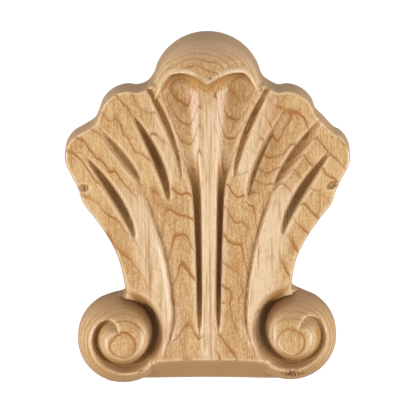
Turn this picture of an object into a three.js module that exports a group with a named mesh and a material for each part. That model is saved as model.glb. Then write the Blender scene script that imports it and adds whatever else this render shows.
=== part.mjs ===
// Carved shell applique: one piece of pale hardwood with a flat sawn back.
// Millimetres. X to the right, Z up, the back on Y = 0 and the carving towards -Y.
import * as THREE from "three";
import { ConvexHull } from "three/addons/math/ConvexHull.js";

// Outline, for the right half; the left half is its mirror image with its own SIDES sizes.
const HOOD_Z = 44;
const HOOD_RADIUS = 19.6;
const LOBE_A = { x: 27.5, z: 33.5, radius: 11.2, from: 104, to: 12 };
const LOBE_B = { x: 41, z: 20.2, radius: 9.8, from: 68, to: -20 };
const WAIST = [[48.2, 12.8], [46, 8.4], [44.2, 3.4], [39.4, -2.9], [34.8, -9.8], [31.4, -17.4]];
const BOTTOM_Z = -63.2;
const BOTTOM_KNOTS = [[24, -63.7], [12, -63.4]];

// Relief heights above the back.
const CROWN = { height: 17.8, acrossFall: 0.0024, alongFall: 0.0008 };
const HOOD_DOME = { wall: 10.5, rise: 13.8, roundness: 2.4 };
const LIP = { dip: 48.4, rise: 4, fallFrom: 12, fall: 0.17, rollDepth: 0.6, coveRatio: 0.62 };
const FLUTE = { top: [10.2, 46], foot: [6.1, 10], bend: 1.1, depth: 3, halfWidth: 6 };
const RIB_GROOVE = { depth: 4.4, outer: 1.1 };
const RIB = { foot: -50, footRise: 26, fluteFrom: 4, fluteBy: 28, topEdge: 2.3 };
const VALLEY = { panelWidth: 7, from: 18, full: 0, fading: -44, end: -62, turnZ: -36, turn: 0.0135 };
const EDGE_ROUND = { radius: 1, atNeck: 3.4, aboveNeck: -19, neck: -29 };
const UNDERSIDE = { height: 2, slope: 1.38 };
const SCROLL = { wall: 4.8, rise: 11.8, roundness: 2.1, fall: 0.72 };
const SPIRAL = { start: 108, radius: 9.7, hook: 3.9, hookTurn: 18, flare: 7, flareFrom: 270, end: 455 };
const CHANNEL = { depth: 4.4, extra: 4, inner: 4.2, narrow: 1.7, join: 2 };

// How a bank meets the surface beside it: softly rolled over, or with a crisp edge.
const SOFT = 2;
const FIRM = 1.3;
const CRISP = 1;

// Sizes that differ a little between the two hand-finished sides. Each groove runs from its
// top to its foot; "inner" and "outer" give the width and the softness of its two banks.
const SIDES = {
  right: {
    crook: [20.6, 46.7],
    saddle: [40.9, 33.3],
    neck: [30.2, -26],
    corner: [30.6, -29],
    volute: { x: 29.8, z: -46.8, radius: 16.5, from: 74, to: -80 },
    eye: [31.4, -45.7],
    arch: 20,
    lipRoll: 1.8,
    rib: { edge: 2.9, top: [5.6, 21], foot: [3.7, -48], bend: 1.8 },
    stem: { top: [26.5, 16], foot: [13.6, -42], bend: 2.1, bank: 1.4, depth: 1.9 },
    cove: 5.2,
    grooves: [
      {
        top: [21.4, 46], foot: [9.3, 12], bend: 1.6, depth: 3.4,
        inner: [1.7, CRISP], outer: [2.4, FIRM], skew: 0.8, open: 0.6,
      },
      {
        top: [27.2, 37], foot: [14.2, 4], bend: 1.45, depth: 3.8,
        inner: [2.8, SOFT], outer: [1.5, FIRM], skew: 1.1, open: 0,
      },
      {
        top: [27.2, 38], foot: [14.2, 2], bend: 1.45, depth: 2.6,
        inner: [2, SOFT], outer: [9.5, FIRM], skew: 0.9, open: 0,
      },
      {
        top: [39.6, 34], foot: [23, 8], bend: 1.35, depth: 3.2,
        inner: [1.4, CRISP], outer: [4.2, SOFT], skew: 1, open: 0.2,
      },
      {
        top: [43.8, 22.8], foot: [26.6, -8], bend: 1.4, depth: 5,
        inner: [3, SOFT], outer: [2.1, CRISP], skew: 1.1, open: 0,
      },
    ],
  },
  left: {
    crook: [21.3, 45.7],
    saddle: [40.1, 32.3],
    neck: [29.5, -27],
    corner: [29.6, -30.6],
    volute: { x: 30.2, z: -48, radius: 16.4, from: 76, to: -80 },
    eye: [30.3, -47.2],
    arch: 17.6,
    lipRoll: 1.2,
    rib: { edge: 1.6, top: [5.4, 21], foot: [2.8, -48], bend: 2.4 },
    stem: { top: [26.5, 16], foot: [11.9, -42], bend: 2, bank: 3, depth: 2.4 },
    cove: 2.8,
    grooves: [
      {
        top: [20.6, 45.4], foot: [9, 12], bend: 1.6, depth: 3.2,
        inner: [1.7, CRISP], outer: [2.2, FIRM], skew: 0.65, open: 0.6,
      },
      {
        top: [27, 36.8], foot: [14, 5], bend: 1.45, depth: 5.2,
        inner: [3.4, SOFT], outer: [1.9, FIRM], skew: 1.15, open: 0,
      },
      {
        top: [39.3, 31.8], foot: [23.2, 10], bend: 1.3, depth: 3.2,
        inner: [1.5, CRISP], outer: [3.2, SOFT], skew: 1.2, open: 0.15,
      },
      {
        top: [43.4, 20.6], foot: [26, -9.4], bend: 1.4, depth: 5,
        inner: [2.8, SOFT], outer: [2.2, CRISP], skew: 1.1, open: 0,
      },
    ],
  },
};

// Facet sizes: steps along the rim, along carved lines and over the plain surface between them.
const OUTLINE_DIVISIONS = 8;
const RIM_POINTS = 288;
const LINE_STEP = 1.35;
const LINE_GAP = 0.8;
const RIM_GAP = 0.88;
const FILL_STEP = 1.6;
const FILL_GAP = 1.1;

const { clamp, lerp, smoothstep } = THREE.MathUtils;
const radians = THREE.MathUtils.degToRad;

function smoothMin(a, b, blend) {
  const t = clamp(0.5 + (0.5 * (b - a)) / blend, 0, 1);
  return b * (1 - t) + a * t - blend * t * (1 - t);
}

function smoothMax(a, b, blend) {
  return -smoothMin(-a, -b, blend);
}

// Drop of a rounded arris at a distance inside its edge.
function arrisDrop(distance, radius) {
  const inset = radius - clamp(distance, 0, radius);
  return radius - Math.sqrt(radius * radius - inset * inset);
}

function arcKnots(disc, count) {
  const knots = [];
  for (let i = 0; i < count; i += 1) {
    const angle = radians(disc.from + ((disc.to - disc.from) * i) / (count - 1));
    knots.push([disc.x + disc.radius * Math.cos(angle), disc.z + disc.radius * Math.sin(angle)]);
  }
  return knots;
}

function halfOutline(side) {
  const hood = { x: 0, z: HOOD_Z, radius: HOOD_RADIUS, from: 90, to: 14 };
  return [
    ...arcKnots(hood, 8),
    side.crook,
    ...arcKnots(LOBE_A, 6),
    side.saddle,
    ...arcKnots(LOBE_B, 6),
    ...WAIST,
    side.neck,
    side.corner,
    ...arcKnots(side.volute, 10),
    ...BOTTOM_KNOTS,
  ];
}

// The closed outline, clockwise from the hood's top as seen from the front.
function outlineCurve() {
  const right = halfOutline(SIDES.right);
  const left = halfOutline(SIDES.left).slice(1).reverse();
  const knots = [...right, [0, BOTTOM_Z], ...left.map(([x, z]) => [-x, z])];
  const places = knots.map(([x, z]) => new THREE.Vector3(x, 0, z));
  const curve = new THREE.CatmullRomCurve3(places, true, "catmullrom", 0.5);
  curve.arcLengthDivisions = knots.length * OUTLINE_DIVISIONS;
  return curve;
}

// Distance from a closed line of points, positive inside it.
function insetFrom(outline, x, z) {
  let best = Infinity;
  let inside = false;
  outline.forEach((a, i) => {
    const b = outline[(i + 1) % outline.length];
    const dx = b.x - a.x;
    const dz = b.z - a.z;
    const t = clamp(((x - a.x) * dx + (z - a.z) * dz) / (dx * dx + dz * dz), 0, 1);
    best = Math.min(best, Math.hypot(x - a.x - t * dx, z - a.z - t * dz));
    if (a.z > z !== b.z > z && x < a.x + (dx * (z - a.z)) / dz) {
      inside = !inside;
    }
  });
  return inside ? best : -best;
}

// Where a carved line runs at a height z: its x, its slope, and how far down it that is.
function lineAt(z, line) {
  const rise = line.top[1] - line.foot[1];
  const spread = line.top[0] - line.foot[0];
  const up = clamp((z - line.foot[1]) / rise, 1e-4, 1.3);
  const slope = (spread * line.bend * up ** (line.bend - 1)) / rise;
  return { x: line.foot[0] + spread * up ** line.bend, slope, down: 1 - up };
}

function offsetFrom(line, x) {
  return (x - line.x) / Math.hypot(1, line.slope);
}

// The line of the channel beside the rib, the flute's under the hood and the groove's further down,
// with the rib's edge and the reach of the outer bank.
function ribChannelAt(z, side) {
  const flute = lineAt(z, FLUTE);
  const turn = smoothstep(z, RIB.fluteFrom, RIB.fluteBy);
  const up = clamp(1 - flute.down, 0, 1);
  return {
    x: lerp(lineAt(z, side.rib).x, flute.x, turn),
    edge: lerp(side.rib.edge, RIB.topEdge, turn),
    bank: RIB_GROOVE.outer + FLUTE.halfWidth * up ** 1.1,
    turn,
    up,
  };
}

// A flat-bottomed flute that closes to a deep line further down.
function ribChannelCut(x, z, side) {
  const { x: axis, edge, bank, turn, up } = ribChannelAt(z, side);
  const deep = RIB_GROOVE.depth * smoothstep(z, RIB.foot, RIB.foot + RIB.footRise);
  const depth = lerp(deep, FLUTE.depth * up ** 0.6, turn);
  const across = x > axis ? (x - axis) / bank : (axis - x) / (axis - edge);
  return depth * clamp(1 - across ** (2 + turn), 0, 1) ** (x > axis ? 0.9 : 1.2 + 0.8 * turn);
}

// How deep and how wide a groove is, of its full size, at a share of its length.
function grooveSwell(groove, down) {
  const swell = Math.sin(Math.PI * clamp(down, 0, 0.9999) ** groove.skew) ** 0.8;
  const depth = Math.max(swell, groove.open * (1 - smoothstep(down, 0, 0.5)));
  return { depth, width: 0.35 + 0.65 * depth };
}

// A gouge cut with a round bottom, whose depth and width swell and die away along it.
function grooveCut(x, z, groove) {
  const line = lineAt(z, groove);
  if (line.down < 0 || line.down > 1) {
    return 0;
  }
  const offset = offsetFrom(line, x);
  const swell = grooveSwell(groove, line.down);
  const [width, softness] = offset > 0 ? groove.outer : groove.inner;
  const across = offset / (width * swell.width);
  return groove.depth * swell.depth * clamp(1 - across * across, 0, 1) ** softness;
}

// The line under the stem's crest, turning outwards at its foot.
function valleyAt(z, side) {
  const line = lineAt(z, side.stem);
  const below = Math.max(0, VALLEY.turnZ - z);
  const x = line.x + VALLEY.turn * below * below;
  return { x, slope: line.slope - 2 * VALLEY.turn * below };
}

// The hollow between the flat panel and the stem: gentle on the panel, steeper under the crest.
function valleyCut(x, z, side) {
  const offset = offsetFrom(valleyAt(z, side), x);
  const start = 1 - smoothstep(z, VALLEY.full, VALLEY.from);
  const profile = start * smoothstep(z, VALLEY.end, VALLEY.fading);
  const across = offset > 0 ? offset / side.stem.bank : -offset / VALLEY.panelWidth;
  return side.stem.depth * profile * clamp(1 - across, 0, 1) ** (offset > 0 ? 1.2 : 1.5);
}

function fanHeight(x, z, side, edgeDistance) {
  let cut = ribChannelCut(x, z, side);
  for (const groove of side.grooves) {
    cut = smoothMax(cut, grooveCut(x, z, groove), 0.3);
  }
  cut = smoothMax(cut, valleyCut(x, z, side), 0.5);
  const crown = CROWN.height - CROWN.acrossFall * x * x - CROWN.alongFall * z * z;
  const byNeck = smoothstep(-z, -EDGE_ROUND.aboveNeck, -EDGE_ROUND.neck);
  const arris = lerp(EDGE_ROUND.radius, EDGE_ROUND.atNeck, byNeck);
  const underside = UNDERSIDE.height + UNDERSIDE.slope * (z - BOTTOM_Z);
  return smoothMin(crown - cut - arrisDrop(edgeDistance, arris), underside, 0.5);
}

function spiralRadius(angle) {
  const flare = Math.max(0, (angle - SPIRAL.flareFrom) / (SPIRAL.end - SPIRAL.flareFrom)) ** 2.4;
  const hook = Math.exp((SPIRAL.start - angle) / SPIRAL.hookTurn);
  return SPIRAL.radius + SPIRAL.flare * flare - SPIRAL.hook * hook;
}

// How far the channel has come round to the stem's side.
function stemShare(angle) {
  return smoothstep(angle, 230, 345);
}

// Width of the channel's outer bank: narrow outside the eye, broad against the stem.
function channelBank(angle, side) {
  return CHANNEL.narrow + side.cove * stemShare(angle);
}

function scrollDome(reach) {
  return SCROLL.wall + SCROLL.rise * clamp(1 - reach ** SCROLL.roundness, 0, 1) ** SCROLL.fall;
}

// The scroll's dome with a channel along the spiral: it hooks into the eye, passes outside and
// under it, broadens to a cove against the stem and runs out at the neck.
function scrollHeight(x, z, side, fan) {
  const disc = side.volute;
  const reach = Math.hypot(x - disc.x, z - disc.z);
  if (reach > disc.radius + 8) {
    return fan;
  }
  const dx = x - side.eye[0];
  const dz = z - side.eye[1];
  const turn = (THREE.MathUtils.radToDeg(Math.atan2(dz, -dx)) + 360) % 360;
  const angle = turn < 100 ? turn + 360 : turn;
  const radius = spiralRadius(angle);
  const offset = Math.hypot(dx, dz) - radius;
  const dome = scrollDome(reach / (disc.radius + 0.02));
  const within = reach < disc.radius;
  const onStem = 1 - smoothstep(x - disc.x, 0, 2);
  const outer = lerp(dome, smoothMax(fan, within ? dome : 0, 0.6), onStem);
  const begin = clamp(1 - Math.exp((SPIRAL.start - 2 - angle) / 16), 0, 1);
  const finish = 1 - smoothstep(angle, 415, SPIRAL.end);
  const joined = smoothstep(offset, -CHANNEL.join, 0) * smoothstep(angle, 415, 430);
  const land = offset < 0 && within ? lerp(dome, outer, joined) : outer;
  const depth = (CHANNEL.depth + CHANNEL.extra * smoothstep(angle, 240, 380)) * begin;
  const floor = Math.min(scrollDome(Math.min(radius / disc.radius, 1)) - depth, land);
  const across = clamp(offset > 0 ? offset / channelBank(angle, side) : -offset / CHANNEL.inner, 0, 1);
  const bank = offset > 0 ? (1 - across * across) ** (1.2 + 2.4 * stemShare(angle)) : (1 - across) ** 2;
  return land - (land - floor) * bank * finish;
}

function domeHeight(reach) {
  const swell = clamp(1 - (reach / (HOOD_RADIUS + 0.05)) ** HOOD_DOME.roundness, 0, 1);
  return HOOD_DOME.wall + HOOD_DOME.rise * Math.sqrt(swell);
}

// Height and slope of the lip's edge, which dips at the middle and arches over each flute.
function lipAt(x, side) {
  const phase = (Math.PI * Math.min(x, side.arch)) / side.arch;
  const rise = LIP.rise * Math.sqrt(Math.sin(phase) ** 2 + 0.002);
  const fall = LIP.fall * Math.max(0, x - LIP.fallFrom) ** 2;
  return { z: LIP.dip + rise - fall, slope: ((LIP.rise * Math.PI) / side.arch) * Math.cos(phase) };
}

// The hood overhangs the flutes, with a cove under its lip.
function hoodHeight(x, z, side, land) {
  const reach = Math.hypot(x, z - HOOD_Z);
  if (reach > HOOD_RADIUS + 0.6 || z < 38) {
    return land;
  }
  const lip = lipAt(x, side);
  const above = (z - lip.z) / Math.hypot(1, lip.slope);
  if (above > 0) {
    const roll = LIP.rollDepth * arrisDrop(above, side.lipRoll);
    return smoothMax(domeHeight(reach) - roll, land - 2.2 * Math.max(0, z - 46.5), 0.8);
  }
  const edge = domeHeight(Math.hypot(x, lip.z - HOOD_Z)) - LIP.rollDepth * side.lipRoll;
  const drop = Math.max(0, edge - land);
  const near = 1 - clamp(-above / (LIP.coveRatio * drop + 0.01), 0, 1);
  return land + drop * (1 - Math.sqrt(1 - near * near));
}

function reliefHeight(x, z, edgeDistance) {
  const side = x >= 0 ? SIDES.right : SIDES.left;
  const across = Math.abs(x);
  const fan = fanHeight(across, z, side, edgeDistance);
  return hoodHeight(across, z, side, scrollHeight(across, z, side, fan));
}

// Points along a curve given by a function of one value, evenly spaced.
function pointsAlong(placeAt, from, to) {
  const fine = Array.from({ length: 401 }, (_, i) => placeAt(from + ((to - from) * i) / 400));
  const kept = [fine[0]];
  let run = 0;
  for (let i = 1; i < fine.length; i += 1) {
    run += Math.hypot(fine[i][0] - fine[i - 1][0], fine[i][1] - fine[i - 1][1]);
    if (run >= LINE_STEP) {
      kept.push(fine[i]);
      run -= LINE_STEP;
    }
  }
  return kept;
}

// The bottom of a groove and the edges of its crisper banks.
function grooveLines(groove) {
  const bankAt = (z, sign, width) => {
    const line = lineAt(z, groove);
    const reach = width * grooveSwell(groove, line.down).width * Math.hypot(1, line.slope);
    return [line.x + sign * reach, z];
  };
  const [high, low] = [groove.top[1] - 0.5, groove.foot[1] + 0.5];
  const lines = [pointsAlong((z) => bankAt(z, 0, 0), high, low)];
  [[-1, groove.inner], [1, groove.outer]].forEach(([sign, [width, softness]]) => {
    if (softness < SOFT) {
      lines.push(pointsAlong((z) => bankAt(z, sign, width), high, low));
    }
  });
  return lines;
}

// The lines that the facets follow on one side: lip, rib, grooves, stem, scroll and bottom edge.
function carvedLines(side) {
  const lipLine = (below) => pointsAlong((x) => [x, lipAt(x, side).z - below], 0, 0.88 * HOOD_RADIUS);
  const ribLine = (reach) => pointsAlong((z) => [reach(ribChannelAt(z, side)), z], 46, RIB.foot + 2);
  const crestLine = (reach) =>
    pointsAlong(
      (z) => [valleyAt(z, side).x + reach * Math.hypot(1, valleyAt(z, side).slope), z],
      VALLEY.from - 4,
      VALLEY.end + 4,
    );
  const spiralLine = (reach) =>
    pointsAlong(
      (angle) => {
        const radius = spiralRadius(angle) + reach(angle);
        const [eyeX, eyeZ] = side.eye;
        return [eyeX - radius * Math.cos(radians(angle)), eyeZ + radius * Math.sin(radians(angle))];
      },
      SPIRAL.start + 2,
      SPIRAL.end,
    );
  const bottomEdge = (x) => {
    const crown = CROWN.height - CROWN.acrossFall * x * x - CROWN.alongFall * BOTTOM_Z * BOTTOM_Z;
    return [x, BOTTOM_Z + (crown - UNDERSIDE.height) / UNDERSIDE.slope];
  };
  return [
    lipLine(-0.02),
    lipLine(0.9),
    lipLine(2.4),
    lipLine(-1.6),
    ribLine((channel) => channel.x),
    ribLine((channel) => channel.x + channel.bank),
    ribLine((channel) => channel.edge),
    crestLine(side.stem.bank),
    crestLine(side.stem.bank / 2),
    crestLine(0),
    spiralLine(() => 0),
    spiralLine(() => -CHANNEL.inner / 3),
    spiralLine((angle) => channelBank(angle, side)),
    ...side.grooves.flatMap(grooveLines),
    pointsAlong(bottomEdge, 0, 16),
  ];
}

// Triangles between scattered points, none with another point inside its circle: the underside
// of the hull of the points lifted onto a paraboloid.
function joinPoints(points) {
  const lifted = points.map((p) => new THREE.Vector3(p.x, p.z, p.x * p.x + p.z * p.z));
  const numbers = new Map(lifted.map((place, i) => [place, i]));
  const undersides = new ConvexHull().setFromPoints(lifted).faces.filter((face) => face.normal.z < 0);
  return undersides.map((face) =>
    [face.edge.next, face.edge, face.edge.prev].map((edge) => numbers.get(edge.head().point)),
  );
}

// Rim points first, then a ring inside them, points on carved lines and points between the lines.
function frontPoints(rim) {
  const points = rim.map((place) => ({ x: place.x, z: place.z, inset: 0 }));
  const add = (x, z, gap) => {
    const inset = insetFrom(rim, x, z);
    const free = points.every((p) => Math.hypot(p.x - x, p.z - z) > gap);
    if (inset > RIM_GAP && free) {
      points.push({ x, z, inset });
    }
  };
  rim.forEach((place, i) => {
    const before = rim[(i + rim.length - 1) % rim.length];
    const after = rim[(i + 1) % rim.length];
    const along = after.clone().sub(before).normalize();
    add(place.x + along.z * EDGE_ROUND.radius, place.z - along.x * EDGE_ROUND.radius, LINE_GAP);
  });
  [[1, SIDES.right], [-1, SIDES.left]].forEach(([sign, side]) => {
    carvedLines(side).forEach((line) => line.forEach(([x, z]) => add(sign * x, z, LINE_GAP)));
  });
  let odd = 0;
  for (let z = BOTTOM_Z; z < HOOD_Z + HOOD_RADIUS; z += FILL_STEP * 0.866) {
    odd = 1 - odd;
    for (let x = -52 + (odd * FILL_STEP) / 2; x < 52; x += FILL_STEP) {
      add(x, z + 0.01 * Math.sin(x), FILL_GAP);
    }
  }
  return points;
}

function shellGeometry() {
  const rim = outlineCurve().getSpacedPoints(RIM_POINTS).slice(0, -1);
  const points = frontPoints(rim);
  const vertices = points.map((p) => new THREE.Vector3(p.x, -reliefHeight(p.x, p.z, p.inset), p.z));
  const triangles = joinPoints(points).filter((corners) => {
    const x = corners.reduce((sum, i) => sum + points[i].x, 0) / 3;
    const z = corners.reduce((sum, i) => sum + points[i].z, 0) / 3;
    return insetFrom(rim, x, z) > 0;
  });

  const firstBack = vertices.length;
  rim.forEach((place) => vertices.push(new THREE.Vector3(place.x, 0, place.z)));
  rim.forEach((_, i) => {
    const following = (i + 1) % rim.length;
    triangles.push([i, following, firstBack + following]);
    triangles.push([i, firstBack + following, firstBack + i]);
  });
  const contour = rim.map((place) => new THREE.Vector2(place.x, place.z));
  for (const [a, b, c] of THREE.ShapeUtils.triangulateShape(contour, [])) {
    const clockwise = THREE.ShapeUtils.isClockWise([contour[a], contour[b], contour[c]]);
    triangles.push([firstBack + a, firstBack + (clockwise ? b : c), firstBack + (clockwise ? c : b)]);
  }

  const geometry = new THREE.BufferGeometry();
  const corners = triangles.flat().flatMap((i) => vertices[i].toArray());
  geometry.setAttribute("position", new THREE.Float32BufferAttribute(corners, 3));
  geometry.computeVertexNormals();
  return geometry;
}

const maple = new THREE.MeshStandardMaterial({ color: 0xd9b180, roughness: 0.55, metalness: 0 });
maple.name = "maple";

const shell = new THREE.Mesh(shellGeometry(), maple);
shell.name = "shell";

const group = new THREE.Group();
group.name = "shell_applique";
group.add(shell);

export default group;
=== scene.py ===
"""Looks of the carved shell applique: the finely carved front, its maple and the studio round it.

Lengths in the tables are millimetres in the part's frame: X right, Z up, the flat back on Y = 0 and
the carving towards -Y. Angles are degrees. Meshes, lights and the camera are in metres.
"""
import math

import bpy
import numpy as np
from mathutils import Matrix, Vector


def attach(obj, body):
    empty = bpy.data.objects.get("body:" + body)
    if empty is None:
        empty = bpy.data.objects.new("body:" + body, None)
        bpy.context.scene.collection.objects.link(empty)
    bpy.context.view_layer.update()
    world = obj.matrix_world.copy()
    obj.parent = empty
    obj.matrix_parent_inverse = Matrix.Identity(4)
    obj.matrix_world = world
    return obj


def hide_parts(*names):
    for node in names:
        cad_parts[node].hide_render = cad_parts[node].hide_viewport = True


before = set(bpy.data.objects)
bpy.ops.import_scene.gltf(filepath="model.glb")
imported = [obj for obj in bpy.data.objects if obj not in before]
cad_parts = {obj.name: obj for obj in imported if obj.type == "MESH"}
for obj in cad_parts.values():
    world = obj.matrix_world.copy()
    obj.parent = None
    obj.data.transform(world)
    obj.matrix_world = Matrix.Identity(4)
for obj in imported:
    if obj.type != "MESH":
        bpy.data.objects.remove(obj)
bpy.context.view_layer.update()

MM_PER_METRE = 1000.0

# Outline, for the right half; the left half mirrors it with its own SIDES sizes.
HOOD_Z = 44.0
HOOD_RADIUS = 19.6
HOOD_ARC = dict(x=0.0, z=HOOD_Z, radius=HOOD_RADIUS, start=90, stop=14, knots=8)
LOBE_A = dict(x=27.5, z=33.5, radius=11.2, start=104, stop=12, knots=6)
LOBE_B = dict(x=41.0, z=20.2, radius=9.8, start=68, stop=-20, knots=6)
WAIST = [(48.2, 12.8), (46.0, 8.4), (44.2, 3.4), (39.4, -2.9), (34.8, -9.8), (31.4, -17.4)]
BOTTOM_Z = -63.2
BOTTOM_KNOTS = [(24.0, -63.7), (12.0, -63.4)]
MIDDLE = (0.0, -20.0)

# Relief: heights above the back, cut depths, and the powers that round each bank.
CROWN = dict(height=17.8, across_fall=0.0024, along_fall=0.0008)
HOOD_DOME = dict(radius=HOOD_RADIUS + 0.05, wall=10.5, rise=13.8, roundness=2.4)
HOOD_SEAT = dict(reach=HOOD_RADIUS + 0.6, foot=38.0, fan_falls_from=46.5, fan_fall=2.2)
LIP = dict(dip=48.4, rise=4.0, dip_round=0.002, fall_from=12.0, fall=0.17, roll_depth=0.6, cove_ratio=0.95)
BEAD = dict(above=2.6, width=0.8, across=(3, 8))
FLUTE = dict(top=(10.2, 46.0), foot=(6.1, 10.0), bend=1.1, depth=3.0, deepens=0.6, half_width=6.0,
             widens=1.1)
RIB = dict(foot=(-50.0, -24.0), flute=(4.0, 28.0), top_edge=2.3)
RIB_GROOVE = dict(depth=4.4, outer=1.1, outer_round=0.9, inner_round=1.2, flute_round=0.8)
GOUGE = dict(swell_round=0.8, opens_by=0.5, least_width=0.35)
STEM_VALLEY = dict(top=(0.0, 18.0), foot=(-62.0, -44.0), panel_width=7.0, panel_round=1.5, bank_round=1.2,
                   turn_z=-36.0, turn=0.0135)
EDGE_ROUND = dict(radius=0.8, at_neck=3.4, above_neck=-19.0, neck=-29.0)
UNDERSIDE = dict(height=2.0, slope=1.38)
SCROLL = dict(wall=4.8, rise=11.8, roundness=2.1, fall=0.72, rim=0.02, cove_reach=8.0, stem=(0, 2))
SPIRAL = dict(seam=100, start=108, radius=9.7, hook=3.9, hook_turn=18, flare=7.0, flare_from=270,
              flare_power=2.4, runs_out=395, end=455)
CHANNEL = dict(start=106, start_turn=14, depth=4.4, extra=4.0, deepens=(240, 380), inner=4.2, narrow=1.6,
               broadens=(230, 345), outer_round=1.2, cove_round=2.4)
MEETING = dict(grooves=0.3, valley=0.5, underside=0.5, stem=0.6, hood=0.8)

# How softly a groove's bank rounds over into the surface beside it.
SOFT = 2.0
SHARP = 1.0


def groove(top, foot, bend, depth, inner, outer, skew=1.0, open_top=0.0):
    """One gouged line: its ends, curvature, depth, the width and softness of its two banks, and
    how its depth swells along it."""
    return dict(top=top, foot=foot, bend=bend, depth=depth, inner=inner, outer=outer, skew=skew,
                open_top=open_top)


SIDES = {
    "right": dict(
        crook=(20.6, 46.7), saddle=(40.9, 33.3), neck=(30.2, -26.0), corner=(30.6, -29.0),
        # Pale stem, petal and lip: partly sandpapered wood, partly painted sheen; the lip a painted
        # highlight.
        arch=20.0, lip_roll=1.8, bead=0.5, sanded_and_sheen=dict(stem=1.6, petal=1.1, lip=1.44),
        rib=dict(edge=2.9, top=(5.6, 21.0), foot=(3.7, -48.0), bend=1.8),
        stem=dict(top=(26.5, 16.0), foot=(13.6, -42.0), bend=2.1, bank=1.4, depth=1.9), cove=5.2,
        volute=dict(x=29.8, z=-46.8, radius=16.5, start=74, stop=-80, knots=10), eye=(31.4, -45.7),
        grooves=[
            groove((21.4, 46.0), (9.3, 12.0), 1.6, 2.8, (1.5, SHARP), (2.2, 1.5), 0.8, 0.6),
            groove((27.2, 37.0), (14.2, 4.0), 1.45, 3.8, (2.6, SOFT), (1.2, 1.2), 1.1),
            groove((27.2, 38.0), (14.2, 2.0), 1.45, 2.6, (1.0, SOFT), (9.5, 1.2), 0.9),
            groove((39.6, 34.0), (23.0, 8.0), 1.35, 3.2, (1.1, SHARP), (4.2, SOFT), 1.0, 0.2),
            groove((43.8, 22.8), (26.6, -8.0), 1.4, 5.0, (3.0, SOFT), (1.9, 1.1), 1.1),
        ]),
    "left": dict(
        crook=(21.3, 45.7), saddle=(40.1, 32.3), neck=(29.5, -27.0), corner=(29.6, -30.6),
        # Pale stem, petal and lip: partly sandpapered wood, partly painted sheen; the lip a painted
        # highlight.
        arch=17.6, lip_roll=1.2, bead=0.15, sanded_and_sheen=dict(stem=1.1, petal=0.6, lip=0.605),
        rib=dict(edge=1.6, top=(5.4, 21.0), foot=(2.8, -48.0), bend=2.4),
        stem=dict(top=(26.5, 16.0), foot=(11.9, -42.0), bend=2.0, bank=3.0, depth=2.4), cove=4.4,
        volute=dict(x=30.2, z=-48.0, radius=16.4, start=76, stop=-80, knots=10), eye=(30.3, -47.2),
        grooves=[
            groove((20.6, 45.4), (9.0, 12.0), 1.6, 2.6, (1.5, SHARP), (2.0, 1.5), 0.65, 0.6),
            groove((27.0, 36.8), (14.0, 5.0), 1.45, 5.2, (3.2, SOFT), (1.6, 1.1), 1.15),
            groove((39.3, 31.8), (23.2, 10.0), 1.3, 2.8, (1.3, 1.1), (3.2, SOFT), 1.2, 0.15),
            groove((43.4, 20.6), (26.0, -9.4), 1.4, 5.0, (2.6, SOFT), (2.0, 1.1), 1.1),
        ]),
}

# Small damage: a pore in the hood, a nick in each waist and a torn patch under the right scroll.
NICKS = [
    dict(x=0.9, z=51.2, width=0.8, height=0.55, tilt=0.0, depth=0.9),
    dict(x=-44.0, z=9.2, width=2.3, height=1.5, tilt=0.08, depth=1.5),
    dict(x=44.3, z=10.2, width=2.3, height=1.5, tilt=0.25, depth=1.5),
]
NICK_FLOOR = dict(level=0.7, lean=0.5, rough=0.35)
TORN = dict(x=30.6, z=-59.8, width=4.8, height=2.1, depth=1.2, level=0.6)
TORN_WAVES = dict(x=5.3, x_sway=2.1, x_sway_along=2.7, z=4.1, z_sway=1.7, z_sway_across=3.9)

# Where the wood is paled, partly by sandpaper and partly as painted sheen, and along the lip as a painted
# highlight: each band starts, is full, begins to fade and ends at these distances.
SANDED_AND_SHEEN_RIB = dict(x=0.6, across=(1.2, 4.2), along=(-58, -50, 36, 48), share=1.3)
SANDED_AND_SHEEN = dict(
    stem=dict(across=(0, 1.6, 6, 13), along=(-56, -42, -2, 16)),
    petal=dict(across=(0.8, 2.2, 4, 7.5), along=(6, 20, 38, 46)),
    lip=dict(across=(-0.4, 0.3, 1.4, 2.8), along=(2, 6, 16, 19)),
)

# Fineness of the mesh, and how its grid meets the outline and the carved lines.
GRID_STEP = 0.324
GRID_X = 52.0
GRID_Z = 65.0
OUTLINE_DIVISIONS = 8
EVENING_ROUNDS = 6
LINE_END = 0.02
LINE_RUNS_ON = 1.3
BACK_ARRIS = 0.3
WALL_ROWS = 4
CREASE_ANGLE = 55

# Grid steps over which a mean height is taken for each field, and the rim over which two of them fade.
MEAN_STEPS = dict(hollow=5, raised=14, crest=2)
RIM_FADE = dict(hollow=(0.3, 3.0), crest=(0.3, 2.0))
# Share of a nick's lost depth added to the hollow field, so the nick takes the hollows' painted shade.
DAMAGE_SHARE = 0.25


def smooth_min(a, b, blend):
    """The lesser of two heights, rounded where they meet over a blend distance."""
    t = np.clip(0.5 + 0.5 * (b - a) / blend, 0, 1)
    return b * (1 - t) + a * t - blend * t * (1 - t)


def smooth_max(a, b, blend):
    """The greater of two heights, rounded where they meet over a blend distance."""
    return -smooth_min(-a, -b, blend)


def ease(low, high, value):
    """0 below low, 1 above high, with a level start and end between them."""
    t = np.clip((value - low) / (high - low), 0, 1)
    return t * t * (3 - 2 * t)


def band(value, limits):
    """1 inside a band: eased up between its first two limits and down between its last two."""
    start, full, fade, end = limits
    return ease(start, full, value) * (1 - ease(fade, end, value))


def arris_drop(distance, radius):
    """Fall of a rounded arris: a quarter circle of the radius, counted in from the edge."""
    inset = radius - np.clip(distance, 0, radius)
    return radius - np.sqrt(radius * radius - inset * inset)


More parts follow.
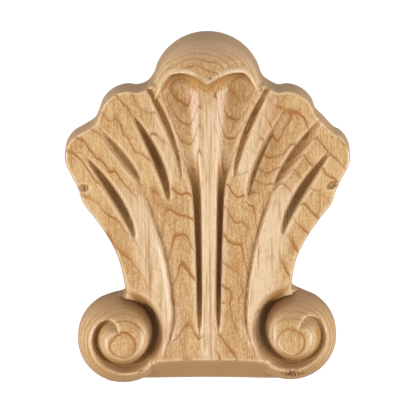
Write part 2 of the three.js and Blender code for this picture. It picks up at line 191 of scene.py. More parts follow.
def arc_knots(disc):
    """Knots spaced evenly on a disc's rim between two angles."""
    angle = np.radians(np.linspace(disc["start"], disc["stop"], disc["knots"]))
    return np.stack([disc["x"] + disc["radius"] * np.cos(angle),
                     disc["z"] + disc["radius"] * np.sin(angle)], 1)


def half_outline(side):
    """Knots of one half, from the hood's top round to the bottom edge."""
    return np.concatenate([
        arc_knots(HOOD_ARC), [side["crook"]], arc_knots(LOBE_A), [side["saddle"]], arc_knots(LOBE_B),
        WAIST, [side["neck"], side["corner"]], arc_knots(side["volute"]), BOTTOM_KNOTS])


def outline_points():
    """The closed outline: a cubic curve from knot to knot round both halves, its slope at each knot
    half the chord between that knot's neighbours."""
    right = half_outline(SIDES["right"])
    left = half_outline(SIDES["left"])[:0:-1] * [-1, 1]
    knots = np.concatenate([right, [(0.0, BOTTOM_Z)], left])
    before, here, ahead, beyond = (np.roll(knots, k, 0) for k in (1, 0, -1, -2))
    t = np.linspace(0, 1, OUTLINE_DIVISIONS, endpoint=False)[:, None, None]
    leave, arrive = (ahead - before) / 2, (beyond - here) / 2
    curve = ((2 * here - 2 * ahead + leave + arrive) * t**3
             + (3 * ahead - 3 * here - 2 * leave - arrive) * t**2 + leave * t + here)
    return curve.transpose(1, 0, 2).reshape(-1, 2)


def nearest_on_outline(outline, x, z):
    """Running place on the outline nearest to each point, and its distance, positive inside."""
    best = np.full(x.shape, np.inf)
    place = np.zeros(x.shape)
    inside = np.zeros(x.shape, bool)
    for i, ((ax, az), (bx, bz)) in enumerate(zip(outline, np.roll(outline, -1, 0))):
        dx, dz = bx - ax, bz - az
        t = np.clip(((x - ax) * dx + (z - az) * dz) / (dx * dx + dz * dz), 0, 1)
        distance = np.hypot(x - ax - t * dx, z - az - t * dz)
        nearer = distance < best
        best = np.where(nearer, distance, best)
        place = np.where(nearer, i + t, place)
        if az != bz:
            inside ^= ((az > z) != (bz > z)) & (x < ax + dx * (z - az) / dz)
    return place, np.where(inside, best, -best)


def line_at(z, line):
    """A carved line at height z: its x is the foot's plus the spread times the height fraction to
    the power bend; its slope; and how far down it that is."""
    rise = line["top"][1] - line["foot"][1]
    spread = line["top"][0] - line["foot"][0]
    up = np.clip((z - line["foot"][1]) / rise, 1e-4, LINE_RUNS_ON)
    slope = spread * line["bend"] * up ** (line["bend"] - 1) / rise
    return line["foot"][0] + spread * up ** line["bend"], slope, 1 - up


def offset_from(line, x, z):
    """Distance across a carved line, positive on its outer bank, and how far down it that is."""
    line_x, slope, down = line_at(z, line)
    return (x - line_x) / np.hypot(1, slope), down


def rib_channel_cut(x, z, side):
    """The channel beside the rib: a flute under the hood that closes to a deep line further down. It
    reaches in to the rib's rounded top and out to its own bank, with a power of a parabola across
    each."""
    flute_x, _, flute_down = line_at(z, FLUTE)
    line_x, _, _ = line_at(z, side["rib"])
    up = np.clip(1 - flute_down, 0, 1)
    turn = ease(*RIB["flute"], z)
    axis = line_x + (flute_x - line_x) * turn
    outer = RIB_GROOVE["outer"] + FLUTE["half_width"] * up ** FLUTE["widens"]
    edge = side["rib"]["edge"]
    inner = axis - edge - (RIB["top_edge"] - edge) * turn
    deep = RIB_GROOVE["depth"] * ease(*RIB["foot"], z)
    depth = deep + (FLUTE["depth"] * up ** FLUTE["deepens"] - deep) * turn
    across = np.where(x > axis, (x - axis) / outer, (axis - x) / inner)
    inner_round = RIB_GROOVE["inner_round"] + RIB_GROOVE["flute_round"] * turn
    softness = np.where(x > axis, RIB_GROOVE["outer_round"], inner_round)
    return depth * np.clip(1 - across ** (2 + turn), 0, 1) ** softness


def groove_cut(x, z, cut):
    """A gouge cut: round at the bottom, each bank one less the square across it to the power of its
    softness; depth and width swell and die away along its length."""
    offset, down = offset_from(cut, x, z)
    along = np.clip(down, 0, 0.9999)
    swell = np.sin(np.pi * along ** cut["skew"]) ** GOUGE["swell_round"]
    profile = np.maximum(swell, cut["open_top"] * (1 - ease(0, GOUGE["opens_by"], along)))
    narrowing = GOUGE["least_width"] + (1 - GOUGE["least_width"]) * profile
    width = np.where(offset > 0, cut["outer"][0], cut["inner"][0]) * narrowing
    softness = np.where(offset > 0, cut["outer"][1], cut["inner"][1])
    depth = cut["depth"] * profile * np.clip(1 - (offset / width) ** 2, 0, 1) ** softness
    return np.where((down >= 0) & (down <= 1), depth, 0)


def valley_offset(x, z, side):
    """Distance outwards from the line under the stem's crest, which turns outwards at its foot as the
    square of the distance below a height."""
    line_x, slope, _ = line_at(z, side["stem"])
    below = np.clip(STEM_VALLEY["turn_z"] - z, 0, None)
    line_x = line_x + STEM_VALLEY["turn"] * below**2
    return (x - line_x) / np.hypot(1, slope - 2 * STEM_VALLEY["turn"] * below)


def valley_cut(x, z, side):
    """The hollow between panel and stem, gentle on the panel's side and steep under the stem's crest:
    on each bank, one less the share across it to a power."""
    stem = side["stem"]
    offset = valley_offset(x, z, side)
    profile = (1 - ease(*STEM_VALLEY["top"], z)) * ease(*STEM_VALLEY["foot"], z)
    across = np.where(offset > 0, offset / stem["bank"], -offset / STEM_VALLEY["panel_width"])
    power = np.where(offset > 0, STEM_VALLEY["bank_round"], STEM_VALLEY["panel_round"])
    return stem["depth"] * profile * np.clip(1 - across, 0, 1) ** power


def fan_height(x, z, side, inset):
    """The fan, a crown that falls off as the squares of x and z, less its deepest cut; rounded at the
    outline and sloped away underneath."""
    cut = rib_channel_cut(x, z, side)
    for line in side["grooves"]:
        cut = smooth_max(cut, groove_cut(x, z, line), MEETING["grooves"])
    cut = smooth_max(cut, valley_cut(x, z, side), MEETING["valley"])
    crown = CROWN["height"] - CROWN["across_fall"] * x**2 - CROWN["along_fall"] * z**2
    by_neck = ease(-EDGE_ROUND["above_neck"], -EDGE_ROUND["neck"], -z)
    arris = EDGE_ROUND["radius"] + (EDGE_ROUND["at_neck"] - EDGE_ROUND["radius"]) * by_neck
    underside = UNDERSIDE["height"] + UNDERSIDE["slope"] * (z - BOTTOM_Z)
    return smooth_min(crown - cut - arris_drop(inset, arris), underside, MEETING["underside"])


def scroll_dome(reach):
    """Height of a scroll's dome at a share of its radius: a wall, then a rise that levels off, one less
    a power of the share, itself to a power."""
    swell = np.clip(1 - reach ** SCROLL["roundness"], 0, 1)
    return SCROLL["wall"] + SCROLL["rise"] * swell ** SCROLL["fall"]


def spiral_radius(angle):
    """Distance of the spiral's line from the eye: steady, less a hook that dies away exponentially from
    its start, plus a flare that grows as a power of the angle."""
    flare_turn = SPIRAL["end"] - SPIRAL["flare_from"]
    flare = np.clip((angle - SPIRAL["flare_from"]) / flare_turn, 0, None) ** SPIRAL["flare_power"]
    hook = np.exp((SPIRAL["start"] - angle) / SPIRAL["hook_turn"])
    return SPIRAL["radius"] + SPIRAL["flare"] * flare - SPIRAL["hook"] * hook


def scroll_height(x, z, side, fan):
    """The scroll's dome less a channel along a spiral that hooks into its eye, passes outside and
    under it, broadens to a cove against the stem and runs out at the neck."""
    disc = side["volute"]
    reach = np.hypot(x - disc["x"], z - disc["z"])
    dx, dz = x - side["eye"][0], z - side["eye"][1]
    turn = np.degrees(np.arctan2(dz, -dx)) % 360
    angle = np.where(turn < SPIRAL["seam"], turn + 360, turn)
    radius = spiral_radius(angle)
    offset = np.hypot(dx, dz) - radius
    dome = scroll_dome(reach / (disc["radius"] + SCROLL["rim"]))
    on_stem = 1 - ease(*SCROLL["stem"], x - disc["x"])
    inner = reach < disc["radius"]
    outer = dome + (smooth_max(fan, np.where(inner, dome, 0), MEETING["stem"]) - dome) * on_stem
    land = np.where((offset < 0) & inner, dome, outer)
    begin = np.clip(1 - np.exp((CHANNEL["start"] - angle) / CHANNEL["start_turn"]), 0, 1)
    finish = 1 - ease(SPIRAL["runs_out"], SPIRAL["end"], angle)
    depth = (CHANNEL["depth"] + CHANNEL["extra"] * ease(*CHANNEL["deepens"], angle)) * begin
    floor = np.minimum(scroll_dome(np.minimum(radius / disc["radius"], 1)) - depth, land)
    by_stem = ease(*CHANNEL["broadens"], angle)
    outer_bank = CHANNEL["narrow"] + side["cove"] * by_stem
    across = np.clip(np.where(offset > 0, offset / outer_bank, -offset / CHANNEL["inner"]), 0, 1)
    outer_power = CHANNEL["outer_round"] + CHANNEL["cove_round"] * by_stem
    bank = np.where(offset > 0, (1 - across**2) ** outer_power, (1 - across) ** 2)
    carved = land - (land - floor) * bank * finish
    return np.where(reach < disc["radius"] + SCROLL["cove_reach"], carved, fan)


def dome_height(reach):
    """The hood's dome: a wall, then a rise that levels off towards the middle, the root of one less a
    power of the share of its radius."""
    swell = np.clip(1 - (reach / HOOD_DOME["radius"]) ** HOOD_DOME["roundness"], 0, 1)
    return HOOD_DOME["wall"] + HOOD_DOME["rise"] * np.sqrt(swell)


def lip_line(x, side):
    """Height of the hood's lip, a sine over each flute that drops away outside it, and its slope."""
    phase = np.pi * np.minimum(x, side["arch"]) / side["arch"]
    arch = LIP["dip"] + LIP["rise"] * np.sqrt(np.sin(phase) ** 2 + LIP["dip_round"])
    drop = LIP["fall"] * np.clip(x - LIP["fall_from"], 0, None) ** 2
    return arch - drop, LIP["rise"] * np.pi / side["arch"] * np.cos(phase)


def above_lip(x, z, side):
    """Distance above the hood's lip, square to it."""
    lip_z, slope = lip_line(x, side)
    return (z - lip_z) / np.hypot(1, slope)


def hood_height(x, z, side, land):
    """The hood above its lip, with a bell-shaped crease that parts a bead from the hood, and below it a
    quarter-round cove down to the flutes."""
    reach = np.hypot(x, z - HOOD_Z)
    above = above_lip(x, z, side)
    bell = np.exp(-(((above - BEAD["above"]) / BEAD["width"]) ** 2))
    crease = side["bead"] * bell * ease(*BEAD["across"], x)
    rolled = dome_height(reach) - LIP["roll_depth"] * arris_drop(above, side["lip_roll"]) - crease
    fan = land - HOOD_SEAT["fan_fall"] * np.clip(z - HOOD_SEAT["fan_falls_from"], 0, None)
    hood = smooth_max(rolled, fan, MEETING["hood"])
    lip_z, _ = lip_line(x, side)
    edge = dome_height(np.hypot(x, lip_z - HOOD_Z)) - LIP["roll_depth"] * side["lip_roll"]
    drop = np.clip(edge - land, 0, None)
    near = 1 - np.clip(-above / (LIP["cove_ratio"] * drop + 0.01), 0, 1)
    cove = land + drop * (1 - np.sqrt(1 - near**2))
    outside = (reach > HOOD_SEAT["reach"]) | (z < HOOD_SEAT["foot"])
    return np.where(outside, land, np.where(above > 0, hood, cove))


def relief(x, z, inset):
    """Height of the carving above the back, each half from its own side's sizes."""
    across = np.abs(x)
    halves = []
    for side in (SIDES["left"], SIDES["right"]):
        fan = fan_height(across, z, side, inset)
        halves.append(hood_height(across, z, side, scroll_height(across, z, side, fan)))
    return np.where(x >= 0, halves[1], halves[0])


def sanded_and_sheen_share(x, z):
    """How far the wood is paled, partly by sandpaper and partly as painted sheen, and along the lip as a
    painted highlight: the greatest of a band on the rib's top, on each stem beside its crest, on the petal
    next to each flute and along the hood's lip."""
    across = np.abs(x)
    on_rib = 1 - ease(*SANDED_AND_SHEEN_RIB["across"], np.abs(x - SANDED_AND_SHEEN_RIB["x"]))
    share = SANDED_AND_SHEEN_RIB["share"] * on_rib * band(z, SANDED_AND_SHEEN_RIB["along"])
    for side, half in ((SIDES["left"], x < 0), (SIDES["right"], x >= 0)):
        past_groove, _ = offset_from(side["grooves"][0], across, z)
        places = dict(stem=(valley_offset(across, z, side), z), petal=(past_groove, z),
                      lip=(above_lip(across, z, side), across))
        for name, (beside, along) in places.items():
            paled = band(beside, SANDED_AND_SHEEN[name]["across"]) * band(along, SANDED_AND_SHEEN[name]["along"])
            share = np.maximum(share, half * side["sanded_and_sheen"][name] * paled)
    return share


def damage(x, z):
    """Depth lost to nicks, each a steep-sided oval deepest at its lower edge with a rough bottom, and
    to torn grain, crossed waves in an oval."""
    sway_x = TORN_WAVES["x_sway"] * np.sin(TORN_WAVES["x_sway_along"] * z)
    sway_z = TORN_WAVES["z_sway"] * np.sin(TORN_WAVES["z_sway_across"] * x)
    waves = np.sin(TORN_WAVES["x"] * x + sway_x) * np.sin(TORN_WAVES["z"] * z + sway_z)
    lost = np.zeros(x.shape)
    for nick in NICKS:
        across = (x - nick["x"]) / nick["width"]
        up = (z - nick["z"] - nick["tilt"] * (x - nick["x"])) / nick["height"]
        bowl = np.clip(1 - across**2 - up**2, 0, 1) ** 0.5
        floor = NICK_FLOOR["level"] - NICK_FLOOR["lean"] * up + NICK_FLOOR["rough"] * waves
        lost = lost + nick["depth"] * bowl * floor
    reach = ((x - TORN["x"]) / TORN["width"]) ** 2 + ((z - TORN["z"]) / TORN["height"]) ** 2
    return lost + TORN["depth"] * np.clip(1 - reach, 0, 1) * (TORN["level"] + waves)


def blur(field, radius):
    """Mean over a square window, three times along each axis, for a bell-shaped spread."""
    width = 2 * radius + 1
    for axis in (0, 1) * 3:
        ends = [(radius + 1, radius) if k == axis else (0, 0) for k in (0, 1)]
        total = np.cumsum(np.pad(field, ends, mode="edge"), axis)
        high = np.take(total, range(width, total.shape[axis]), axis)
        low = np.take(total, range(total.shape[axis] - width), axis)
        field = (high - low) / width
    return field


def local_mean(field, within, radius):
    """Mean of a field near each point, over the points inside the outline only."""
    return blur(field * within, radius) / np.maximum(blur(within, radius), 1e-6)


def settle_on_lines(x, z):
    """Moves grid points sideways onto the bottom of a carved line that passes within half a step."""
    across = np.abs(x)
    for name, sign in (("left", -1), ("right", 1)):
        for line in SIDES[name]["grooves"]:
            line_x, _, down = line_at(z, line)
            close = (np.sign(x) == sign) & (np.abs(line_x - across) < GRID_STEP / 2)
            x = np.where(close & (down > LINE_END) & (down < 1 - LINE_END), sign * line_x, x)
    return x


def ring_order(start, end):
    """Order of the points on a closed loop given as edges, by doubling jumps along it."""
    points = np.unique(start)
    ahead = np.empty(len(points), int)
    ahead[np.searchsorted(points, start)] = np.searchsorted(points, end)
    last = int(np.flatnonzero(ahead == 0)[0])
    ahead[last] = last
    steps = np.ones(len(points), int)
    steps[last] = 0
    for _ in range(int(math.log2(len(points))) + 1):
        steps = steps + steps[ahead]
        ahead = ahead[ahead]
    return points[np.argsort(-steps)]


def settle_places(places, length):
    """Ordered places on the outline for the points of the border, evened out by taking each towards
    the mean of its neighbours."""
    shift = int(np.argmin(places))
    settled = np.sort(places)
    for _ in range(EVENING_ROUNDS):
        before = np.roll(settled, 1)
        before[0] -= length
        after = np.roll(settled, -1)
        after[-1] += length
        settled = (before + 2 * settled + after) / 4
    return np.roll(settled, shift)


def cell_corners(grid):
    """The values at the four corners of each cell of a grid, in order round it."""
    return np.stack([grid[:-1, :-1], grid[:-1, 1:], grid[1:, 1:], grid[1:, :-1]], -1)


def trimmed_grid():
    """A grid inside the outline with its border on the outline itself: the points, their distance in
    from the outline, the cells and the loop of border points."""
    outline = outline_points()
    x, z = np.meshgrid(np.arange(-GRID_X, GRID_X, GRID_STEP), np.arange(-GRID_Z, GRID_Z, GRID_STEP))
    place, inset = nearest_on_outline(outline, x, z)
    x = settle_on_lines(x, z)
    cells = cell_corners(np.arange(x.size).reshape(x.shape))[cell_corners(inset).sum(-1) > 0]
    starts = cells.ravel()
    ends = np.roll(cells, -1, 1).ravel()
    border = ~np.isin(starts * x.size + ends, ends * x.size + starts)
    loop = ring_order(starts[border], ends[border])[::-1]

    places = settle_places(place.ravel()[loop], len(outline)) % len(outline)
    whole = np.floor(places).astype(int)
    part = (places - whole)[:, None]
    rim = outline[whole] * (1 - part) + outline[(whole + 1) % len(outline)] * part
    x.ravel()[loop], z.ravel()[loop] = rim[:, 0], rim[:, 1]
    inset.ravel()[loop] = 0
    return x, z, inset, cells, loop


def surface_fields(x, z, inset):
    """Height of the carving less its damage, and what its wood goes by at each point: how far it lies
    below the mean height round it, more in the nicks, which browns hollows as painted shade; above a wider
    mean and above a close one; its distance in from the edge; and how far it is paled by sandpaper and
    painted sheen."""
    lost = damage(x, z)
    height = relief(x, z, np.clip(inset, 0, None)) - lost
    within = (inset > -GRID_STEP).astype(float)
    mean = {name: local_mean(height, within, steps) for name, steps in MEAN_STEPS.items()}
    hollow = mean["hollow"] - height + DAMAGE_SHARE * lost
    crest = height - mean["crest"]
    return height, dict(
        hollow=np.where(hollow > 0, hollow * ease(*RIM_FADE["hollow"], inset), hollow),
        raised=height - mean["raised"],
        crest=np.where(crest > 0, crest, crest * ease(*RIM_FADE["crest"], inset)),
        edge=inset,
        sanded_and_sheen=sanded_and_sheen_share(x, z))


def wall_rows(rim, top):
    """Rows of points down the straight walls from the front's edge, and a last row in from them by a
    small arris, on the back."""
    along = np.roll(rim, -1, 0) - np.roll(rim, 1, 0)
    inward = np.stack([-along[:, 1], along[:, 0]], 1) / np.linalg.norm(along, axis=1)[:, None]
    inward *= np.sign(np.sum(inward * (MIDDLE - rim), 1).mean())
    rows = [np.stack([rim[:, 0], top + (-BACK_ARRIS - top) * k / WALL_ROWS, rim[:, 1]], 1)
            for k in range(1, WALL_ROWS + 1)]
    seat = rim + inward * BACK_ARRIS
    return rows + [np.stack([seat[:, 0], np.zeros(len(rim)), seat[:, 1]], 1)]


def shell_mesh():
    """The trimmed grid lifted by the relief, walls from its border down to the back, and one flat face
    for the back."""
    x, z, inset, cells, loop = trimmed_grid()
    height, fields = surface_fields(x, z, inset)
    points = np.stack([x.ravel(), -height.ravel(), z.ravel()], 1)
    used = np.unique(cells)
    compact = np.zeros(x.size, int)
    compact[used] = np.arange(len(used))
    walls = wall_rows(points[loop][:, [0, 2]], points[loop][:, 1])
    vertices = np.concatenate([points[used]] + walls) / MM_PER_METRE

    count = len(loop)
    rings = [compact[loop]] + [len(used) + k * count + np.arange(count) for k in range(len(walls))]
    bands = [np.stack([a, np.roll(a, -1), np.roll(b, -1), b], 1) for a, b in zip(rings, rings[1:])]
    faces = np.concatenate([compact[cells]] + bands).tolist() + [rings[-1].tolist()]

    mesh = bpy.data.meshes.new("carved_shell")
    mesh.from_pydata(vertices.tolist(), [], faces)
    mesh.polygons.foreach_set("use_smooth", np.ones(len(faces), bool))
    for name, field in fields.items():
        values = np.zeros(len(vertices), np.float32)
        values[:len(used)] = field.ravel()[used]
        mesh.attributes.new(name, "FLOAT", "POINT").data.foreach_set("value", values)
    mesh.set_sharp_from_angle(angle=math.radians(CREASE_ANGLE))
    mesh.update()
    return mesh


class Shade:
    """A shader socket with arithmetic: every operator adds one Math node."""

    def __init__(self, tree, socket=None):
        self.tree = tree
        self.socket = socket

    def node(self, kind, settings=None, inputs=None, output=0):
        """Adds a node: its settings first, then values or links for its sockets; gives one output."""
        made = self.tree.nodes.new(kind)
        for name, value in (settings or {}).items():
            setattr(made, name, value)
        for name, value in (inputs or {}).items():
            if isinstance(value, Shade):
                self.tree.links.new(value.socket, made.inputs[name])
            else:
                made.inputs[name].default_value = value
        return Shade(self.tree, made.outputs[output])

    def math(self, operation, *others):
        """One Math node on this value and any others."""
        values = dict(enumerate((self,) + others))
        return self.node("ShaderNodeMath", dict(operation=operation), values)

    def __add__(self, other):
        return self.math("ADD", other)

    __radd__ = __add__

    def __mul__(self, other):
        return self.math("MULTIPLY", other)

    __rmul__ = __mul__

    def __sub__(self, other):
        return self.math("SUBTRACT", other)

    def __rsub__(self, other):
        return self.node("ShaderNodeMath", dict(operation="SUBTRACT"), {0: other, 1: self})

    def __truediv__(self, other):
        return self.math("DIVIDE", other)

    def __neg__(self):
        return self * -1.0

    def __abs__(self):
        return self.math("ABSOLUTE")

    def at_least(self, low):
        """The greater of this value and another."""
        return self.math("MAXIMUM", low)

    def at_most(self, high):
        """The lesser of this value and another."""
        return self.math("MINIMUM", high)

    def eased(self, low, high):
        """0 to 1 as the value goes from low to high, with a level start and end."""
        settings = dict(interpolation_type="SMOOTHSTEP")
        return self.node("ShaderNodeMapRange", settings, {0: self, 1: low, 2: high})

    def part(self, axis):
        """One axis of a vector."""
        return self.node("ShaderNodeSeparateXYZ", inputs={0: self}, output=axis)

    def noise(self, size, detail, seed, roughness=0.5):
        """Noise about zero over millimetre coordinates, with a grain size for each axis."""
        place = self.node("ShaderNodeVectorMath", dict(operation="DIVIDE"), {0: self, 1: size})
        settings = dict(noise_dimensions="4D")
        values = dict(Vector=place, W=seed, Scale=1.0, Detail=detail, Roughness=roughness)
        return self.node("ShaderNodeTexNoise", settings, values) - 0.5

    def between(self, first, second):
        """From the first colour to the second as this value goes from 0 to 1."""
        return self.node("ShaderNodeMix", dict(data_type="RGBA"), {"Factor": self, 6: first, 7: second}, 2)


# Colours of the wood, and of the painted shade, sheen and highlight laid over it.
MAPLE = (0.43, 0.205, 0.056, 1.0)
MAPLE_PALE = (0.68, 0.44, 0.195, 1.0)
RING_LINE = (0.36, 0.12, 0.007, 1.0)
# Pale crests and edges: partly sandpapered and worn wood, partly a painted highlight.
BURNISHED_AND_HIGHLIGHT = (0.80, 0.60, 0.38, 1.0)
# Faces that look up: partly end grain, partly a painted grey sheen.
TOP_GRAIN_AND_SHEEN = (0.56, 0.37, 0.21, 1.0)
# Scroll tops: painted shade.
SCROLL_TOP_SHADE = (0.38, 0.215, 0.09, 1.0)
# Faces that look down: partly end grain, partly painted shade.
UNDER_GRAIN_AND_SHADE = (0.47, 0.24, 0.07, 1.0)
# Hollows and grooves: painted shade.
HOLLOW_SHADE_BROWN = (0.20, 0.085, 0.018, 1.0)
FLECK = (0.36, 0.18, 0.06, 1.0)

# Growth rings: their spacing, lean and waviness, and the shares of a ring that are early and late wood.
RINGS = dict(depth=1.6, tilt=0.17, swell=3.2, ripple=0.7, on_scrolls=0.35, off_scrolls=0.65)
LATE_WOOD = dict(darkens=(0.72, 0.94), stops=(0.96, 1.0), strength=0.9, varies=2.6)
EARLY_WOOD = dict(pales=(0.0, 0.5), fades=(0.55, 0.9))

# Grain of each noise, as a size along X, Y and Z.
GRAIN = dict(
    swell=dict(size=(9.0, 40.0, 30.0), detail=1.0, seed=3.0),
    ripple=dict(size=(4.0, 9.0, 9.0), detail=1.0, seed=8.0),
    fibre=dict(size=(0.6, 0.75, 10.0), detail=3.0, seed=1.0, roughness=0.6),
    fleck=dict(size=(0.5, 0.7, 1.6), detail=1.0, seed=5.0),
    patch=dict(size=(16.0, 18.0, 30.0), detail=2.0, seed=12.0),
    grit=dict(size=(0.7, 0.8, 1.3), detail=3.0, seed=21.0, roughness=0.8),
    thread=dict(size=(0.9, 3.0, 40.0), detail=2.0, seed=41.0),
    speck=dict(size=(0.45, 0.5, 0.6), detail=1.0, seed=27.0),
    ring_strength=dict(size=(7.0, 20.0, 12.0), detail=1.0, seed=31.0),
)
STREAK = dict(size=(7.0, 0.45, 30.0), detail=2.0, seed=17.0, roughness=0.6)

# Where each feature of the wood, and each painted shade, sheen and highlight, begins and is full, in
# the measure that it goes by.
REACH = dict(
    above_scrolls=(-33.0, -27.0), beside_rib=(12.0, 18.0), near_back=(0.6, 3.0), scroll_tops=(-34.0, -26.0),
    lobes_x=(24.0, 42.0), lobes_z=(-12.0, 0.0), rib_x=(5.0, 8.0), rib_z=(0.0, 12.0),
    upward=(0.25, 0.9), downward=(0.25, 0.85), shaded_top=(0.2, 1.6), fleck=(0.10, 0.22),
    thread=(0.03, 0.14), pitted=(0.02, 0.3), raised=(0.2, 1.4), arris=(0.05, 0.2), rubbed_and_highlight=(0.1, 0.5),
    rubbed_and_highlight_end=(0.6, 1.3), hollow=(0.7, 3.4), groove=(0.10, 0.45), dull_hollow=(0.3, 1.5),
)

# How strongly each feature tells in the paleness and painted highlight, the sandpapered paleness and
# painted sheen, ring lines, coats (painted shade, sheen and highlight among them), roughness and fine
# relief.
TONE_START = 0.42
TONE = dict(fibre=2.2, streak=1.2, grit=2.8, speck=1.6, patch=0.7, early=0.1, lobes=0.2)
SANDING_AND_SHEEN_START = 0.56
SANDING_AND_SHEEN = dict(fibre=1.8, streak=1.0)
PALING_AND_HIGHLIGHT = dict(raised=0.06, sanding_and_sheen=1.0, arris=0.42, rubbed_and_highlight=0.4)
RING_LOSS = dict(sanded_and_sheen=0.75, topside=0.6, underside=0.1)
SHADED_TOP = 0.7
PITTED_SPECK = 0.6
COAT = dict(burnish_and_highlight=0.8, fleck=0.35, thread=0.45, topside=0.75, scroll_top_shade=0.7, underside=0.75, pitted=0.5,
            ring=0.92, hollow=0.75, groove=0.3)
ROUGH_START = 0.33
ROUGH = dict(fibre=0.12, topside=0.25, ring=0.05, dull_hollow=0.4)
LIFT = dict(fibre=0.7, grit=0.6, speck=0.4, streak=0.3, fleck=-0.3, ring=-0.15)
BUMP_STRENGTH = 0.5
BUMP_DISTANCE = 0.00014
SHEEN = 0.55


def weighted(parts, weights, start=0.0):
    """A start value plus each named part times its weight."""
    return sum((parts[name] * weight for name, weight in weights.items()), start)


def wood_grain(base, place):
    """The features of the wood by name: every noise; the growth rings, warped layers parallel to the
    crown that lean across the block but not on the scrolls, with late wood as a dark line and early
    wood between; and streaks that follow the layers."""
    x, y, z = (place.part(axis) for axis in "XYZ")
    grain = {name: place.noise(**sizes) for name, sizes in GRAIN.items()}
    above_scrolls = z.eased(*REACH["above_scrolls"])
    off_scrolls = above_scrolls.at_least(1.0 - abs(x).eased(*REACH["beside_rib"]))
    off_scrolls = off_scrolls.at_least(1.0 - abs(y).eased(*REACH["near_back"]))
    level = (x * x * CROWN["across_fall"] + z * z * CROWN["along_fall"]) * above_scrolls
    warp = grain["swell"] * RINGS["swell"] + grain["ripple"] * RINGS["ripple"]
    layer = warp * (RINGS["on_scrolls"] + off_scrolls * RINGS["off_scrolls"]) + level - y
    phase = ((layer - (x + z) * off_scrolls * RINGS["tilt"]) / RINGS["depth"]).math("FRACT")
    late = phase.eased(*LATE_WOOD["darkens"])
    sheet = base.node("ShaderNodeCombineXYZ", inputs={0: x, 1: layer, 2: z})
    grain["ring"] = late * late * (1.0 - phase.eased(*LATE_WOOD["stops"]))
    grain["early"] = phase.eased(*EARLY_WOOD["pales"]) * (1.0 - phase.eased(*EARLY_WOOD["fades"]))
    grain["streak"] = sheet.noise(**STREAK)
    grain["fleck"] = grain["fleck"].eased(*REACH["fleck"])
    grain["lobes"] = abs(x).eased(*REACH["lobes_x"]) * z.eased(*REACH["lobes_z"])
    grain["upright"] = (1.0 - abs(x).eased(*REACH["rib_x"])).at_least(1.0 - z.eased(*REACH["rib_z"]))
    # Where the scroll tops take their painted shade.
    grain["scroll_tops"] = 1.0 - z.eased(*REACH["scroll_tops"])
    return grain


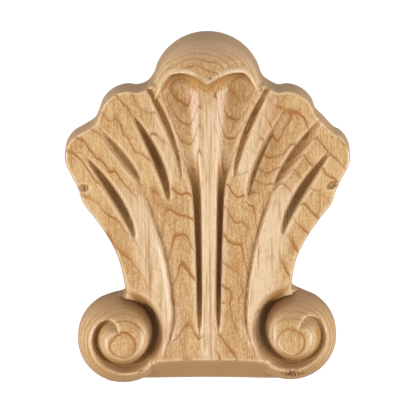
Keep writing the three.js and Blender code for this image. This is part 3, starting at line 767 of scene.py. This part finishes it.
def maple_material():
    """Flat-sawn maple: growth rings as warped layers, fine upright fibres, short flecks; paler crests and
    edges, partly sandpapered wood and partly painted highlight and sheen; faces that look up greyer, partly
    end grain and partly painted sheen; faces that look down darker, partly end grain and partly painted
    shade; scroll tops darker and hollows browner, as painted shade. Each is a coat of colour mixed over
    those before it."""
    material = bpy.data.materials.new("maple")
    material.use_nodes = True
    tree = material.node_tree
    shader = tree.nodes["Principled BSDF"]
    base = Shade(tree)
    place = base.node("ShaderNodeTexCoord", output="Object")
    place = base.node("ShaderNodeVectorMath", dict(operation="SCALE"), {0: place, "Scale": MM_PER_METRE})
    wood = wood_grain(base, place)
    hollow, raised, crest, edge, sanded_and_sheen = (
        base.node("ShaderNodeAttribute", dict(attribute_name=name), output="Fac")
        for name in ("hollow", "raised", "crest", "edge", "sanded_and_sheen"))

    # Up-facing faces: end grain and painted sheen; down-facing faces: end grain and painted shade.
    rise = base.node("ShaderNodeNewGeometry", output="Normal").part("Z")
    topside = rise.eased(*REACH["upward"]) * (1.0 - hollow.eased(*REACH["shaded_top"]) * SHADED_TOP)
    underside = (-rise).eased(*REACH["downward"])
    covered = topside.at_least(underside).at_least(sanded_and_sheen).at_most(1.0)
    wood["topside"] = topside
    wood["dull_hollow"] = hollow.eased(*REACH["dull_hollow"])

    # Paleness of crests, arrises and edges: partly sandpapered and worn wood, partly painted highlight and
    # sheen.
    paling_and_highlight = dict(
        raised=raised.eased(*REACH["raised"]),
        sanding_and_sheen=sanded_and_sheen * weighted(wood, SANDING_AND_SHEEN, SANDING_AND_SHEEN_START),
        arris=crest.eased(*REACH["arris"]),
        rubbed_and_highlight=edge.eased(*REACH["rubbed_and_highlight"]) * (1.0 - edge.eased(*REACH["rubbed_and_highlight_end"])))
    burnish_and_highlight = weighted(paling_and_highlight, PALING_AND_HIGHLIGHT).at_least(0.0).at_most(COAT["burnish_and_highlight"])
    threads = sanded_and_sheen * wood["upright"] * wood["thread"].eased(*REACH["thread"])
    pits = (wood["grit"] + wood["speck"] * PITTED_SPECK).eased(*REACH["pitted"]) * covered
    strength = (LATE_WOOD["strength"] + wood["ring_strength"] * LATE_WOOD["varies"]).at_least(0.0)
    strength = strength * (1.0 - sanded_and_sheen * RING_LOSS["sanded_and_sheen"])
    strength = strength * (1.0 - topside * RING_LOSS["topside"] - underside * RING_LOSS["underside"])

    colour = weighted(wood, TONE, TONE_START).at_least(0.0).at_most(1.0).between(MAPLE, MAPLE_PALE)
    for coat, share in (
            (BURNISHED_AND_HIGHLIGHT, burnish_and_highlight),
            (FLECK, wood["fleck"] * COAT["fleck"]),
            (RING_LINE, threads * COAT["thread"]),
            # Painted sheen and end grain on faces that look up.
            (TOP_GRAIN_AND_SHEEN, topside * COAT["topside"]),
            # Painted shade on the scroll tops.
            (SCROLL_TOP_SHADE, topside * wood["scroll_tops"] * COAT["scroll_top_shade"]),
            # Painted shade and end grain on faces that look down.
            (UNDER_GRAIN_AND_SHADE, underside * COAT["underside"]),
            (FLECK, pits * COAT["pitted"]),
            (RING_LINE, (wood["ring"] * strength).at_most(COAT["ring"])),
            # Hollows and the bottoms of grooves browned as painted shade.
            (HOLLOW_SHADE_BROWN, hollow.eased(*REACH["hollow"]) * COAT["hollow"]),
            (HOLLOW_SHADE_BROWN, (-crest).eased(*REACH["groove"]) * COAT["groove"])):
        colour = share.between(colour, coat)

    lift = weighted(wood, LIFT)
    bump_sizes = dict(Strength=BUMP_STRENGTH, Distance=BUMP_DISTANCE, Height=lift)
    tree.links.new(colour.socket, shader.inputs["Base Color"])
    tree.links.new(weighted(wood, ROUGH, ROUGH_START).socket, shader.inputs["Roughness"])
    tree.links.new(base.node("ShaderNodeBump", inputs=bump_sizes).socket, shader.inputs["Normal"])
    shader.inputs["Specular IOR Level"].default_value = SHEEN
    return material


WHITE = (1.0, 1.0, 1.0, 1.0)
PAPER = dict(colour=(0.9, 0.9, 0.9, 1.0), roughness=0.9, glow=0.72)
FLOOR_HALF_WIDTH = 6.0
FLOOR_Z = -0.35
SKY_STRENGTH = 0.42
LIGHT_TARGET = (0.0, -0.01, 0.0)
SOFT_BOXES = dict(
    left_box=dict(place=(-0.92, -0.42, -0.18), size=0.45, power=7.9),
    right_box=dict(place=(0.92, -0.42, -0.18), size=0.45, power=7.5),
    left_front_box=dict(place=(-0.52, -0.86, 0.10), size=0.30, power=0.6),
    right_front_box=dict(place=(0.52, -0.86, 0.10), size=0.30, power=0.6),
    low_box=dict(place=(0.0, -0.7, -0.30), size=0.4, power=0.8),
    top_box=dict(place=(0.0, -0.25, 0.95), size=0.5, power=1.4),
)
CAMERA_AIM = (0.0002, 0.0, -0.00114)
CAMERA_DISTANCE = 2.0
CAMERA_RISE = 13.0
SENSOR_WIDTH = 36.0
FRAME_WIDTH = 0.1491


def paper_material():
    """Matt white studio paper with a slight even glow."""
    material = bpy.data.materials.new("studio_paper")
    material.use_nodes = True
    shader = material.node_tree.nodes["Principled BSDF"]
    shader.inputs["Base Color"].default_value = PAPER["colour"]
    shader.inputs["Roughness"].default_value = PAPER["roughness"]
    shader.inputs["Emission Color"].default_value = WHITE
    shader.inputs["Emission Strength"].default_value = PAPER["glow"]
    return material


def placed(name, data):
    """Links a new object into the scene."""
    piece = bpy.data.objects.new(name, data)
    bpy.context.scene.collection.objects.link(piece)
    return piece


def aimed(piece, place, target):
    """Puts a light or camera at a place, turned to a target."""
    piece.location = place
    piece.rotation_euler = (Vector(target) - Vector(place)).to_track_quat("-Z", "Y").to_euler()


def soft_light(name, place, size, power):
    """A square soft box at a place, turned to the object."""
    light = bpy.data.lights.new(name, "AREA")
    light.size = size
    light.energy = power
    aimed(placed(name, light), place, LIGHT_TARGET)


shell = placed("carved_shell", shell_mesh())
shell.data.materials.append(maple_material())
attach(shell, "root")
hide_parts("shell")

floor_mesh = bpy.data.meshes.new("studio_floor")
corners = [(FLOOR_HALF_WIDTH * x, FLOOR_HALF_WIDTH * y, FLOOR_Z)
           for x, y in ((-1, -1), (1, -1), (1, 1), (-1, 1))]
floor_mesh.from_pydata(corners, [], [(0, 1, 2, 3)])
floor_mesh.materials.append(paper_material())
studio_floor = placed("studio_floor", floor_mesh)
studio_floor.visible_diffuse = False
studio_floor.visible_glossy = False

scene = bpy.context.scene
scene.view_settings.view_transform = "Standard"
world = bpy.data.worlds.new("studio")
world.use_nodes = True
sky = world.node_tree.nodes["Background"]
sky.inputs["Color"].default_value = WHITE
sky.inputs["Strength"].default_value = SKY_STRENGTH
scene.world = world
for box_name, box in SOFT_BOXES.items():
    soft_light(box_name, **box)

camera = bpy.data.cameras.new("camera")
camera.sensor_width = SENSOR_WIDTH
camera.lens = SENSOR_WIDTH * CAMERA_DISTANCE / FRAME_WIDTH
camera_piece = placed("camera", camera)
tilt = math.radians(CAMERA_RISE)
away = Vector((0.0, -math.cos(tilt), math.sin(tilt)))
aimed(camera_piece, Vector(CAMERA_AIM) + CAMERA_DISTANCE * away, CAMERA_AIM)
scene.camera = camera_piece
